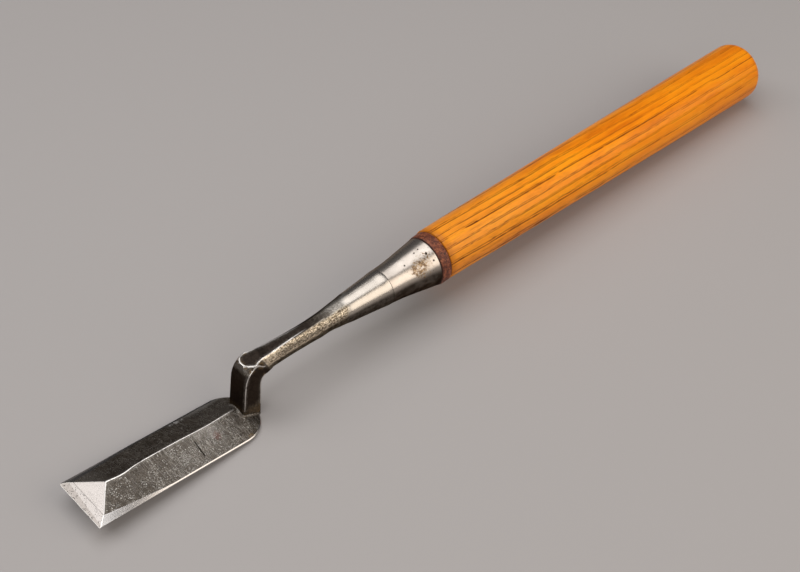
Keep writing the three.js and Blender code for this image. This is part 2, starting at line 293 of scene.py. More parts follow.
def iron_blade():
    rows = both_sides(list(FINE) + list(np.linspace(0.5, 0.94, 11)) + [0.965, 0.982, 0.992, 0.998])
    upper, lower = [], []
    for q in rows:
        y_heel = float(side_at(SIDE_LENGTH, q))
        start = WELD_FRONT + 0.05
        first = max(bevel_end(q), start + 0.04)
        last = outline_end(y_heel, WELD_RADIUS - 0.03)
        second = min(cone_start(y_heel), last - 0.04)
        parts = run(start, first, 12), run(first, second, 66)[1:], run(second, last, 20)[1:]
        x = np.concatenate(parts)
        y = side_at(x, q)
        floor = weld_height(x)
        upper.append(np.stack([x, y, np.maximum(upper_surface(x, y), floor + SEAM)], 1))
        lower.append(np.stack([x, y, floor], 1))
    points, faces = slab(np.array(upper), np.array(lower))
    return make("iron_blade", points, faces, TOOL)


def hollow_depth(x, y):
    middle = (HOLLOW["start"] + HOLLOW["end"]) / 2
    length = (HOLLOW["end"] - HOLLOW["start"]) / 2
    reach = np.hypot((x - middle) / length, y / (HOLLOW["width"] / 2))
    return HOLLOW["depth"] * np.clip(1 - reach**2, 0, 1)


def edge_wear(y):
    """Tiny chips along the cutting edge, and the left corner blunted by use."""
    chips = np.clip(wobble(y, 0 * y, 12, 0.22, 0.5) - 0.12, 0, 1) * 0.35
    corner = 0.35 * np.exp(-(((y - HALF_LEFT) / 0.5) ** 2))
    return chips + corner


def steel_blade():
    hidden = list(np.linspace(0.05, 0.96, 20))
    shown = [0.985, 0.996, 1.0, 1.02, 1.07, 1.15, 1.3, 1.5, 1.7, 1.85, 1.94, 1.98, 2.0]
    upper, lower = [], []
    for q in both_sides(hidden + shown):
        y_heel = float(side_at(SIDE_LENGTH, q))
        start = float(edge_wear(side_at(np.array([0.0]), q))[0])
        first = min(bevel_end(q), WELD_FRONT) if abs(q) <= 1 else bevel_end(q)
        first = max(first, start + 0.04)
        last = outline_end(y_heel, HALF)
        weld = outline_end(y_heel, WELD_RADIUS) if abs(y_heel) < WELD_RADIUS else SIDE_LENGTH
        second = min(weld, last - 0.03)
        parts = run(start, first, 9), run(first, second, 70)[1:], run(second, last, 10)[1:]
        x = np.concatenate(parts)
        y = side_at(x, q)
        z = np.clip(upper_surface(x, y), 0.015, weld_height(x) - SEAM / 2)
        upper.append(np.stack([x, y, z], 1))
        lower.append(np.stack([x, y, hollow_depth(x, y)], 1))
    points, faces = slab(np.array(upper), np.array(lower))
    layer = make("hard_steel_layer", points, faces, TOOL)
    layer.data.set_sharp_from_angle(angle=math.radians(14))
    return layer


# ---- Crank, neck and tang ----
def shank_point(along, above):
    x = BLADE_LENGTH + along * math.cos(SHANK_RISE) - above * math.sin(SHANK_RISE)
    z = SHANK_HEIGHT + along * math.sin(SHANK_RISE) + above * math.cos(SHANK_RISE)
    return x, z


# Key sections from the foot of the upright, over the crank, to the flare. The outer and the inner
# point of each are given in the side view. A corner is cut from the edge of the flat to a depth on
# the side, and is anything from a straight facet (round 0) to a full round (round 1).
UPRIGHT = [
    # outer x, z     inner x, z    right  left   right corner     left corner      inner corner
    #                              half   half   flat cut  round  flat cut  round  flat  cut
    (64.05, 1.20, 72.00, 1.20, 4.15, 4.10, 3.55, 0.55, 0.1, 3.85, 0.30, 0.5, 3.75, 0.45),
    (64.12, 4.00, 72.08, 4.00, 4.15, 4.10, 3.55, 0.55, 0.1, 3.85, 0.30, 0.5, 3.70, 0.50),
    (64.25, 7.00, 72.18, 6.50, 4.15, 4.07, 3.55, 0.55, 0.1, 3.80, 0.33, 0.5, 3.70, 0.50),
    (64.42, 11.0, 72.20, 10.0, 4.15, 4.05, 3.55, 0.58, 0.1, 3.75, 0.36, 0.5, 3.65, 0.55),
    (64.60, 15.0, 72.22, 13.2, 4.15, 4.03, 3.55, 0.60, 0.1, 3.70, 0.38, 0.5, 3.60, 0.60),
    (64.80, 18.0, 72.35, 15.1, 4.15, 4.02, 3.42, 0.70, 0.1, 3.65, 0.42, 0.5, 3.50, 0.70),
    (65.15, 20.3, 72.72, 16.4, 4.15, 4.00, 2.80, 0.92, 0.1, 3.40, 0.55, 0.5, 3.40, 0.80),
    (65.65, 22.3, 73.32, 17.3, 4.15, 4.00, 2.10, 1.34, 0.1, 2.60, 0.88, 0.5, 3.30, 0.90),
    (66.22, 23.9, 73.95, 17.75, 4.15, 4.00, 1.35, 1.98, 0.1, 1.55, 1.45, 0.4, 3.20, 0.95),
    (66.55, 24.42, 74.25, 17.9, 4.15, 3.98, 1.10, 2.15, 0.1, 1.20, 1.58, 0.3, 3.15, 1.00),
    (67.00, 24.50, 74.60, 17.98, 4.15, 3.97, 1.85, 1.92, 0.15, 2.05, 1.32, 0.3, 3.12, 1.02),
    (67.60, 24.58, 74.95, 18.02, 4.15, 3.96, 2.45, 1.58, 0.2, 2.85, 0.95, 0.3, 3.08, 1.05),
    (68.40, 24.67, 75.40, 18.05, 4.15, 3.95, 3.13, 1.08, 0.25, 3.42, 0.58, 0.4, 3.00, 1.10),
    (69.20, 24.76, 75.80, 18.08, 4.14, 3.92, 3.75, 0.55, 0.3, 3.60, 0.40, 0.5, 2.92, 1.15),
    (69.80, 24.83, 76.10, 18.1, 4.12, 3.90, 3.98, 0.30, 0.4, 3.68, 0.45, 0.5, 2.85, 1.20),
    (70.30, 24.89, 76.35, 18.1, 4.08, 3.87, 3.80, 1.90, 0.4, 3.68, 0.80, 0.5, 2.80, 1.25),
    (71.20, 25.00, 76.80, 18.11, 4.03, 3.84, 3.38, 3.40, 0.45, 3.40, 1.80, 0.5, 2.70, 1.35),
    (72.60, 25.16, 77.40, 18.12, 3.93, 3.80, 2.98, 3.55, 0.55, 2.98, 2.80, 0.5, 2.55, 1.50),
    (74.20, 25.33, 78.00, 18.13, 3.83, 3.75, 2.68, 3.60, 0.62, 2.68, 3.30, 0.6, 2.40, 1.65),
]
NECK = [
    # along, lift, half height, half width, flat, round
    (4.9, 0.38, 3.62, 3.74, 2.48, 0.66),
    (8.0, 0.38, 3.60, 3.64, 2.22, 0.70),
    (13.0, 0.38, 3.55, 3.58, 1.85, 0.72),
    (20.0, 0.38, 3.58, 3.60, 1.50, 0.75),
    (27.0, 0.36, 3.80, 3.80, 1.30, 0.8),
    (33.0, 0.34, 4.22, 4.22, 0.95, 0.9),
    (37.0, 0.33, 4.72, 4.72, 0.45, 0.98),
    (40.6, 0.32, 5.10, 5.10, 0.30, 1.0),
    (41.2, 0.32, 5.22, 5.22, 0.30, 1.0),
    (46.5, 0.25, 5.78, 5.78, 0.30, 1.0),
    (50.8, 0.18, 6.22, 6.22, 0.30, 1.0),
    (55.2, 0.08, 6.66, 6.66, 0.30, 1.0),
    (JOINT - 0.06, 0.0, 7.10, 7.10, 0.30, 1.0),
    (JOINT, 0.0, 7.04, 7.04, 0.30, 1.0),
]


def key_sections():
    sections = list(UPRIGHT)
    for along, lift, tall, wide, flat, bulge in NECK:
        outer, inner = shank_point(along, lift + tall), shank_point(along, lift - tall)
        deep = tall * 0.97
        inner_corner = max(flat * 0.9, 0.3), tall * 0.5 if bulge < 0.9 else deep
        sections.append((*outer, *inner, wide, wide, *(flat, deep, bulge) * 2, *inner_corner))
    return np.array(sections)


def monotone(keys, places, at):
    """Monotone cubic interpolation of each column of keys, so that no column overshoots."""
    step = np.diff(places)[:, None]
    slope = np.diff(keys, axis=0) / step
    tangent = np.zeros_like(keys)
    same = slope[:-1] * slope[1:] > 0
    w1, w2 = 2 * step[1:] + step[:-1], step[1:] + 2 * step[:-1]
    with np.errstate(divide="ignore", invalid="ignore"):
        mean = (w1 + w2) / (w1 / slope[:-1] + w2 / slope[1:])
    tangent[1:-1] = np.where(same, mean, 0)
    tangent[0], tangent[-1] = slope[0], slope[-1]
    index = np.clip(np.searchsorted(places, at, side="right") - 1, 0, len(places) - 2)
    gap = step[index]
    t = ((at - places[index]) / gap[:, 0])[:, None]
    low, high = keys[index], keys[index + 1]
    return (
        (1 + 2 * t) * (1 - t) ** 2 * low
        + t * (1 - t) ** 2 * gap * tangent[index]
        + t**2 * (3 - 2 * t) * high
        + t**2 * (t - 1) * gap * tangent[index + 1]
    )


CORNER = (0.03, 0.09, 0.2, 0.34, 0.5, 0.66, 0.8, 0.91, 0.97)
BESIDE = 0.13  # how close to an arris the next line of points lies


def corner_points(half, flat, cut, tall, bulge):
    """One quarter of a section, from the middle of its flat to the middle of its side."""
    y = [flat * 0.3, flat * 0.65, flat - min(BESIDE, flat * 0.25), flat]
    v = [tall] * 4
    for u in CORNER:
        bend = u * math.pi / 2
        round_y, round_v = flat + (half - flat) * math.sin(bend), tall - cut + cut * math.cos(bend)
        line_y, line_v = flat + (half - flat) * u, tall - cut * u
        y.append(bulge * round_y + (1 - bulge) * line_y)
        v.append(bulge * round_v + (1 - bulge) * line_v)
    room = tall - cut
    return y + [half] * 3, v + [room, room - min(BESIDE, room * 0.25), room * 0.5]


def section_ring(row):
    ox, oz, ix, iz, right, left, flat_r, cut_r, round_r, flat_l, cut_l, round_l, flat_in, cut_in = row
    outer, inner = np.array([ox, oz]), np.array([ix, iz])
    tall = np.linalg.norm(outer - inner) / 2
    middle, up = (outer + inner) / 2, (outer - inner) / (2 * tall)
    round_in = 0.45 + 0.55 * np.clip((min(round_r, round_l) - 0.6) / 0.4, 0, 1)
    y1, v1 = corner_points(left, flat_l, min(cut_l, tall * 0.99), tall, round_l)
    y2, v2 = corner_points(left, flat_in, min(cut_in, tall * 0.99), tall, round_in)
    y3, v3 = corner_points(right, flat_in, min(cut_in, tall * 0.99), tall, round_in)
    y4, v4 = corner_points(right, flat_r, min(cut_r, tall * 0.99), tall, round_r)
    y = np.concatenate([y1, y2[::-1], -np.array(y3), -np.array(y4[::-1])])
    v = np.concatenate([v1, -np.array(v2[::-1]), -np.array(v3), v4[::-1]])
    return np.stack([middle[0] + up[0] * v, y, middle[1] + up[1] * v], 1)


def plain_row(along, half):
    outer, inner = shank_point(along, half), shank_point(along, -half)
    corner = half * 0.9, half * 0.1
    return (*outer, *inner, half, half, *corner, 0, *corner, 0, *corner)


def crank_and_neck():
    keys = key_sections()
    middles = (keys[:, 0:2] + keys[:, 2:4]) / 2
    places = np.concatenate([[0], np.cumsum(np.linalg.norm(np.diff(middles, axis=0), axis=1) + 0.01)])
    at = np.unique(np.concatenate([np.arange(0, places[-1], 0.4), places]))
    bend = at[(at > 12) & (at < 32)]
    at = np.unique(np.concatenate([at, (bend[1:] + bend[:-1]) / 2]))
    rings = [section_ring(row) for row in monotone(keys, places, at)]
    for along, half in ((JOINT, 3.0), (TANG_END - 4, 1.3), (TANG_END, 0.5)):
        rings.append(section_ring(plain_row(along, half)))
    count = len(rings[0])
    points = np.concatenate(rings)
    forge = wobble(points[:, 0], points[:, 1] * 2 + points[:, 2], 5, 3.2, 0.04)
    filed = (points[:, 0] < 112) & (points[:, 2] > 3)
    points[:, 1] += np.where(filed, forge, 0)
    points[:, 2] += np.where(filed & (points[:, 0] > 72), forge, 0)
    faces = tube_faces(len(rings), count)
    last = (len(rings) - 1) * count
    faces.append(tuple(range(count)))
    faces.append(tuple(range(last, last + count)))
    return make("crank_and_neck", points, faces, TOOL)


def unite(base, extra):
    """Joins extra into base with an exact boolean, and keeps base."""
    cut = base.modifiers.new("unite", "BOOLEAN")
    cut.operation, cut.solver, cut.object = "UNION", "EXACT", extra
    graph = bpy.context.evaluated_depsgraph_get()
    mesh = bpy.data.meshes.new_from_object(base.evaluated_get(graph))
    base.modifiers.clear()
    base.data = mesh
    bpy.data.objects.remove(extra)
    tidy(base, 1e-6)
    return base


# ---- Turned pieces, in the shank frame ----
def turn(name, profile, count=128, uneven=None):
    """A closed profile of (x, radius) points turned round the shank's axis, off centre at the washer."""
    profile = np.array(profile, float)
    angles = np.linspace(0, math.tau, count, endpoint=False)
    x, angle = np.meshgrid(profile[:, 0], angles, indexing="ij")
    radius = np.repeat(profile[:, 1:2], count, 1)
    if uneven:
        radius = radius + uneven(x, angle) * (radius > 1)
    shift = np.interp(x, (JOINT, MOUTH, HANDLE_START - 0.1, HANDLE_START), (0, 1, 0.8, 0))
    y = radius * np.sin(angle) + OFF_AXIS[0] * shift
    z = radius * np.cos(angle) + OFF_AXIS[1] * shift
    points = np.stack([x, y, z], -1).reshape(-1, 3)
    faces = tube_faces(len(profile), count)
    last = (len(profile) - 1) * count
    if np.hypot(*(profile[0] - profile[-1])) < 1e-6:
        points = points[:-count]
        faces = [[i - last if i >= last else i for i in face] for face in faces]
    return make(name, points, faces, SHANK)


def through(points, count):
    """Smooth stations through a few (x, radius) points."""
    points = np.array(points, float)
    places = points[:, 0]
    at = np.unique(np.concatenate([np.linspace(places[0], places[-1], count), places]))
    return [tuple(p) for p in np.stack([at, monotone(points[:, 1:], places, at)[:, 0]], 1)]


def ferrule():
    start, mouth, wall, lip = JOINT + 0.08, 9.97, 1.25, 0.32
    skin = [(start + 0.06, 7.12), (64, 7.5), (68.2, 8.05), (72.5, 8.7), (76.8, 9.37), (MOUTH - lip, mouth)]
    profile = [(start, 7.06)] + through(skin, 40)
    profile += [(MOUTH - lip * 0.7, mouth), (MOUTH - lip * 0.3, mouth - 0.08)]
    profile += [(MOUTH, mouth - 0.3), (MOUTH, mouth - wall)]
    profile += [(start, 7.1 - wall), (start, 7.06)]
    return turn("conical_ferrule_shell", profile, 144)


def washer():
    start, end, top, hole = MOUTH + 0.08, HANDLE_START - 0.08, 10.3, 8.8
    round_over = ((0, -0.55), (0.1, -0.28), (0.3, -0.1), (0.6, -0.02))
    belly = ((1.2, 0.06), (1.9, 0.06), (2.6, 0.11), (3.4, 0.13), (4.0, 0.14))
    profile = [(start, hole)] + [(start + dx, top + dr) for dx, dr in round_over + belly]
    profile += [(end - dx, top + 0.14 + dr) for dx, dr in round_over[::-1]]
    profile += [(end, hole), (start, hole)]

    def uneven(x, angle):
        waves = 0.05 * np.sin(angle * 3 + 0.7) + 0.03 * np.sin(angle * 11 + x)
        return waves + wobble(x * 3, angle * 26, 21, 2.0, 0.06)

    return turn("leather_washer_ring", profile, 160, uneven)


BUTT_START, BUTT_RADIUS = 273.4, 12.9
BUTT_LENGTH, BUTT_ROUNDING = 5.1, 4.9


def handle():
    nose, socket = 8.25, 4.4
    side = [(HANDLE_START + 0.45, 10.6), (110, 10.98), (160, 11.66), (205, 12.24), (240, 12.64)]
    side += [(265, 12.86), (BUTT_START, BUTT_RADIUS)]
    butt = []
    for i in range(1, 15):
        angle = i / 14 * math.pi / 2
        radius = BUTT_RADIUS - BUTT_ROUNDING * (1 - math.cos(angle))
        butt.append((BUTT_START + BUTT_LENGTH * math.sin(angle), radius))
    dome = [(HANDLE_END - 0.9 * s * s, 8.0 * s) for s in (0.9, 0.75, 0.6, 0.45, 0.3, 0.15, 0.0)]
    profile = [(TANG_END + 3, 0.0), (TANG_END + 3, 2.3)]
    profile += [(NOSE_START, socket), (NOSE_START, 5.9), (MOUTH, nose), (HANDLE_START, nose)]
    profile += [(HANDLE_START, 10.3), (HANDLE_START + 0.12, 10.48)] + through(side, 90) + butt + dome
    return turn("turned_oak_handle", profile, 144, lambda x, a: wobble(x / 9, a * 3, 31, 1.4, 0.05))


# ---- Materials ----
class Paint:
    """A material's node tree, with short calls for the nodes that the surfaces below need."""

    def __init__(self, name, place):
        self.material = bpy.data.materials.new(name)
        self.material.use_nodes = True
        self.tree = self.material.node_tree
        self.tree.nodes.clear()
        self.shader = self.tree.nodes.new("ShaderNodeBsdfPrincipled")
        output = self.tree.nodes.new("ShaderNodeOutputMaterial")
        self.tree.links.new(self.shader.outputs["BSDF"], output.inputs["Surface"])
        inverse = place.inverted()
        scale = inverse.to_scale()[0]
        mapping = self.tree.nodes.new("ShaderNodeMapping")
        mapping.inputs["Scale"].default_value = (scale,) * 3
        mapping.inputs["Rotation"].default_value = inverse.to_euler()
        mapping.inputs["Location"].default_value = inverse.to_translation()
        source = self.tree.nodes.new("ShaderNodeTexCoord")
        self.tree.links.new(source.outputs["Object"], mapping.inputs["Vector"])
        self.spot = mapping.outputs["Vector"]
        parts = self.add("ShaderNodeSeparateXYZ", Vector=self.spot)
        self.x, self.y, self.z = parts.outputs

    def add(self, kind, settings=None, **inputs):
        node = self.tree.nodes.new(kind)
        for key, value in (settings or {}).items():
            setattr(node, key, value)
        for key, value in inputs.items():
            self.feed(node.inputs[key.replace("_", " ")], value)
        return node

    def feed(self, socket, value):
        if isinstance(value, bpy.types.NodeSocket):
            self.tree.links.new(value, socket)
        else:
            socket.default_value = value

    def math(self, operation, *values):
        node = self.tree.nodes.new("ShaderNodeMath")
        node.operation = operation
        for socket, value in zip(node.inputs, values):
            self.feed(socket, value)
        return node.outputs[0]

    def times(self, *values):
        total = values[0]
        for value in values[1:]:
            total = self.math("MULTIPLY", total, value)
        return total

    def plus(self, *values):
        total = values[0]
        for value in values[1:]:
            total = self.math("ADD", total, value)
        return total

    def sum_of(self, base, *pairs):
        """base, plus each value times its share; pairs are value, share, value, share and so on."""
        return self.plus(base, *(self.times(*pair) for pair in zip(pairs[::2], pairs[1::2])))

    def most(self, *values):
        total = values[0]
        for value in values[1:]:
            total = self.math("MAXIMUM", total, value)
        return total

    def minus(self, a, b):
        return self.math("SUBTRACT", a, b)

    def invert(self, value):
        return self.minus(1.0, value)

    def length(self, a, b):
        return self.math("SQRT", self.plus(self.times(a, a), self.times(b, b)))

    def step(self, value, low, high):
        """0 below low, 1 above high, smooth between; low may be the larger of the two."""
        swap = low > high
        settings = dict(interpolation_type="SMOOTHSTEP", clamp=True)
        node = self.add("ShaderNodeMapRange", settings, Value=value)
        node.inputs["From Min"].default_value = high if swap else low
        node.inputs["From Max"].default_value = low if swap else high
        return self.invert(node.outputs["Result"]) if swap else node.outputs["Result"]

    def stretch(self, scale, turn=(0, 0, 0), move=(0, 0, 0)):
        turned = self.add("ShaderNodeMapping", Vector=self.spot)
        turned.inputs["Rotation"].default_value = turn
        node = self.add("ShaderNodeMapping", Vector=turned.outputs["Vector"])
        node.inputs["Scale"].default_value = scale
        node.inputs["Location"].default_value = move
        return node.outputs["Vector"]

    def noise(self, scale, vector=None, detail=2.0, rough=0.5, distortion=0.0, seed=0.0):
        node = self.add("ShaderNodeTexNoise", dict(noise_dimensions="4D"), Scale=scale, W=seed)
        self.feed(node.inputs["Vector"], vector or self.spot)
        node.inputs["Detail"].default_value = detail
        node.inputs["Roughness"].default_value = rough
        node.inputs["Distortion"].default_value = distortion
        return node.outputs["Fac"]

    def cells(self, scale, vector):
        """Distance to the nearest of many scattered points."""
        return self.add("ShaderNodeTexVoronoi", Scale=scale, Vector=vector).outputs["Distance"]

    def colour(self, socket, value):
        self.feed(socket, (*value, 1.0) if isinstance(value, tuple) else value)

    def mix(self, share, a, b):
        node = self.add("ShaderNodeMix", dict(data_type="RGBA"))
        self.feed(node.inputs[0], share)
        self.colour(node.inputs[6], a)
        self.colour(node.inputs[7], b)
        return node.outputs[2]

    def over(self, under, *layers):
        """Lays colours over one another, each given as a mask and the colour."""
        for share, colour in layers:
            under = self.mix(share, under, colour)
        return under

    def blend(self, share, a, b):
        node = self.add("ShaderNodeMix", dict(data_type="FLOAT"))
        self.feed(node.inputs[0], share)
        self.feed(node.inputs[2], a)
        self.feed(node.inputs[3], b)
        return node.outputs[0]

    def ramp(self, value, *stops):
        node = self.add("ShaderNodeValToRGB", Fac=value)
        points = node.color_ramp.elements
        while len(points) < len(stops):
            points.new(0.5)
        for point, (place, colour) in zip(points, stops):
            point.position, point.color = place, (*colour, 1.0)
        return node.outputs["Color"]

    def attribute(self, name):
        return self.add("ShaderNodeAttribute", dict(attribute_name=name)).outputs["Fac"]

    def bump(self, height, distance, strength=1.0, under=None):
        """Relief whose height of 1 is distance in millimetres."""
        node = self.add("ShaderNodeBump", Height=height, Strength=strength)
        node.inputs["Distance"].default_value = distance * MM
        if under:
            self.feed(node.inputs["Normal"], under)
        return node.outputs["Normal"]

    def surface(self, **inputs):
        for key, value in inputs.items():
            self.colour(self.shader.inputs[key.replace("_", " ")], value)
        return self.material


def scratches(p, angle, seed, spacing=1.6, length=9.0, thin=0.62):
    """Fine straight scratches lying at an angle to the tool's length, as a mask."""
    lines = p.stretch((spacing / length * 0.6, spacing * 2.4, 0.3), (0, 0, angle), (seed, seed * 1.7, 0))
    return p.step(p.noise(1.0, lines, 1.0, 0.4, 0.0, seed), thin, thin + 0.07)


def specks(p, scale, size, where, seed):
    """Small round spots, clustered where a slow noise allows them."""
    moved = p.stretch((1, 1, 1), (0, 0, 0), (seed * 3.1, seed * 1.3, seed * 2.3))
    spots = p.step(p.cells(scale, moved), size, size * 0.45)
    return p.times(spots, p.step(p.noise(0.35, moved, 1, 0.5, 0, seed), where, where + 0.1))


def blot(p, x, y, radius, seed, a=None, b=None):
    """A ragged round patch at one place."""
    away = p.length(p.minus(a or p.x, x), p.minus(b or p.y, y))
    ragged = p.minus(p.noise(1.1, None, 3, 0.6, 0.3, seed), 0.5)
    return p.step(p.sum_of(away, ragged, radius * 2.2), radius, radius * 0.45)


def streak(p, x, y, length, width, angle):
    """One straight scratch in plan, centred on x, y."""
    c, s = math.cos(angle), math.sin(angle)
    dx, dy = p.minus(p.x, x), p.minus(p.y, y)
    along = p.math("ABSOLUTE", p.plus(p.times(dx, c), p.times(dy, s)))
    across = p.math("ABSOLUTE", p.plus(p.times(dx, -s), p.times(dy, c)))
    return p.times(p.step(along, length / 2, length / 2 - 0.8), p.step(across, width, width * 0.3))


def on_bevel(p):
    return p.step(p.minus(p.z, p.times(p.x, BEVEL)), -0.12, -0.02)


def hard_steel():
    """Honed steel: bright bevel, side strips and flat sole, with fine scratches and a few rust pits."""
    p = Paint("honed_steel", TOOL)
    fine = p.noise(3.0, None, 3, 0.6, 0.0, 11)
    mottle = p.noise(0.8, None, 4, 0.6, 0.2, 7)
    bevel, arris = on_bevel(p), p.attribute("arris")

    # The bevel has a duller band along the edge, wider on the left.
    wander = p.noise(0.5, None, 2, 0.5, 0, 33)
    band = p.step(p.sum_of(p.x, p.y, -0.075, wander, 0.5), 2.0, 1.8)
    honed = p.mix(band, (0.385, 0.359, 0.345), (0.3, 0.274, 0.258))
    ground = p.mix(p.times(fine, 0.6), (0.66, 0.63, 0.61), (0.5, 0.47, 0.45))
    flat = p.invert(bevel)
    aged = p.times(p.step(p.sum_of(0, mottle, 0.6, fine, 0.4), 0.58, 0.66), flat)
    left = p.times(p.step(p.y, 2.0, 5.0), flat, p.step(p.z, 0.05, 0.15))
    pits = p.times(specks(p, 1.7, 0.3, 0.42, 31), p.step(p.x, 4.2, 1.0))
    pits = p.most(pits, p.times(specks(p, 0.9, 0.2, 0.5, 37), 0.6))
    steel = p.over(
        p.mix(bevel, ground, honed),
        (p.times(aged, 0.55), (0.13, 0.11, 0.09)),
        (p.times(left, 0.7), (0.1, 0.092, 0.084)),
        (pits, (0.07, 0.045, 0.035)),
        (p.times(p.step(arris, 0.16, 0.04), p.invert(left), 0.8), (0.72, 0.7, 0.67)),
    )

    rough = p.sum_of(0.17, fine, 0.1, mottle, 0.06, pits, 0.4, aged, 0.12)
    hone = p.noise(1.0, p.stretch((7.0, 0.3, 7.0), (0, 0, 0.07)), 3, 0.6, 0.0, 41)
    lap = p.most(scratches(p, 1.35, 2.0, 2.2, 14.0, 0.6), scratches(p, 0.3, 6.0, 2.2, 16.0, 0.62))
    relief = p.bump(hone, 0.008, 0.3)
    relief = p.bump(lap, -0.008, 0.5, relief)
    relief = p.bump(pits, -0.08, 0.8, relief)
    return p.surface(Base_Color=steel, Metallic=1.0, Roughness=rough, Normal=relief)


def forged_iron():
    """Soft iron: scratched facets, black forge scale on the crank, a filed neck, a turned flare."""
    p = Paint("forged_iron", TOOL)
    scale, arris, nook, dull = (p.attribute(name) for name in ("scale", "arris", "nook", "dull"))
    filed, turned, crank = (p.attribute(name) for name in ("filed", "turned", "crank"))
    blade = p.invert(p.most(filed, turned, crank))
    bevel = p.times(on_bevel(p), blade)

    slow = p.noise(0.12, None, 4, 0.6, 0.6, 2)
    mottle = p.noise(0.7, None, 6, 0.75, 0.4, 7)
    fine = p.noise(2.1, None, 4, 0.7, 0.0, 11)
    grit = p.noise(5.0, None, 2, 0.6, 0.0, 13)

    # Bare metal, warmer where the file has been.
    cuts = p.noise(2.4, p.stretch((0.6, 1.2, 1.2)), 4, 0.75, 0.3, 19)
    golden = p.ramp(cuts, (0.4, (0.08, 0.055, 0.034)), (0.47, (0.5, 0.4, 0.28)), (0.56, (1.0, 0.88, 0.7)))
    sheen = p.mix(p.noise(0.3, None, 2, 0.5, 0, 27), (0.49, 0.435, 0.38), (0.58, 0.53, 0.475))
    bare = p.mix(fine, (0.36, 0.335, 0.305), (0.5, 0.475, 0.44))
    bare = p.over(bare, (filed, golden), (turned, sheen))

    # Painted shade under the neck and the flare, standing in for a dark reflection, and dark specks along
    # the top of the neck's sides.
    above = p.sum_of(p.plus(p.z, -SHANK_HEIGHT), p.plus(p.x, -BLADE_LENGTH), -math.tan(SHANK_RISE))
    lean = p.math("DIVIDE", above, p.length(above, p.y))
    lower = p.step(p.sum_of(lean, p.step(p.x, 94, 108), -0.3), 0.2, -0.12)
    speckled = p.step(p.noise(2.4, None, 3, 0.7, 0, 21), 0.4, 0.55)
    upper = p.times(p.step(lean, 0.12, 0.34), p.step(p.x, 78, 84), filed, speckled, 0.85)
    shade_and_specks = p.times(p.most(lower, upper), p.step(p.x, 73.5, 76.5))

    # Oxide: blackish brown, nearly black where the scale was never ground off.
    tone = p.sum_of(0, mottle, 0.35, fine, 0.5, slow, 0.15)
    brown = (0.42, (0.034, 0.027, 0.021)), (0.5, (0.088, 0.073, 0.06)), (0.6, (0.2, 0.175, 0.148))
    black = (0.38, (0.016, 0.012, 0.01)), (0.62, (0.066, 0.05, 0.04))
    oxide = p.mix(p.step(scale, 0.66, 0.86), p.ramp(tone, *brown), p.ramp(tone, *black))
    level = p.sum_of(0, slow, 0.3, mottle, 0.4, fine, 0.65, grit, 0.35, scale, 1.1)
    cover = p.step(level, 1.22, 1.5)
    metal = p.mix(p.times(cover, p.invert(p.times(turned, 0.8))), bare, oxide)

    # Scratches across and along the blade, some of them bright, fewer near the bevel.
    cross = p.most(scratches(p, 1.5, 3.1, 1.8, 8.0, 0.6), scratches(p, 1.15, 9.4, 1.5, 6.0, 0.63))
    along = scratches(p, 0.1, 5.5, 1.8, 14.0, 0.62)
    short = scratches(p, 1.45, 4.4, 3.2, 4.0, 0.58)
    busy = p.sum_of(0.45, p.step(p.noise(0.25, None, 2, 0.5, 0, 43), 0.4, 0.6), 0.55)
    scaly = p.step(scale, 0.66, 0.8)
    marks = p.times(p.most(cross, short, p.times(along, 0.6)), blade, busy)
    marks = p.times(marks, p.sum_of(1, scaly, -0.8), p.sum_of(0.5, p.step(p.x, 14, 30), 0.5))
    bright = p.times(p.most(specks(p, 1.0, 0.24, 0.48, 23), specks(p, 2.2, 0.36, 0.44, 29)), blade)
    bright = p.times(bright, p.sum_of(1, scaly, -0.85))
    halo = p.times(p.step(arris, 1.5, 0.1), p.step(p.sum_of(0, fine, 0.6, mottle, 0.4), 0.42, 0.6))
    metal = p.over(
        metal,
        (p.times(marks, 0.45), (0.5, 0.465, 0.42)),
        (p.times(bright, 0.7), (0.66, 0.63, 0.58)),
        (p.times(halo, p.invert(dull), 0.4), (0.4, 0.37, 0.33)),
    )

    # Marks of this one tool: two worn patches, a dark one, a deep scratch, a red spot, a nicked edge.
    gouge = p.times(streak(p, 43.8, -6.3, 7.0, 0.27, math.pi / 2), p.step(fine, 0.22, 0.4))
    red = p.times(blot(p, 51.9, -5.3, 1.9, 3), p.step(fine, 0.35, 0.6), blade)
    worn = p.sum_of(blot(p, 50.5, -2.0, 3.4, 5), blot(p, 46.5, -1.6, 2.6, 6), 0.8)
    dark = p.times(blot(p, 60.5, -4.6, 3.6, 8), p.step(mottle, 0.4, 0.6), blade)
    places = (43.4, 10.3, 0.9, 9), (45.6, 10.2, 1.1, 10), (48.0, 10.1, 0.7, 12)
    nicks = p.times(p.plus(*(blot(p, *place) for place in places)), blade)
    metal = p.over(
        metal,
        (p.times(worn, blade, 0.4, p.step(fine, 0.42, 0.6)), (0.5, 0.46, 0.42)),
        (p.times(dark, 0.6), (0.07, 0.058, 0.05)),
        (p.times(gouge, 0.95), (0.022, 0.017, 0.014)),
        (p.times(red, 0.65), (0.15, 0.062, 0.05)),
        (p.times(nicks, p.step(fine, 0.45, 0.55)), (0.8, 0.78, 0.75)),
    )
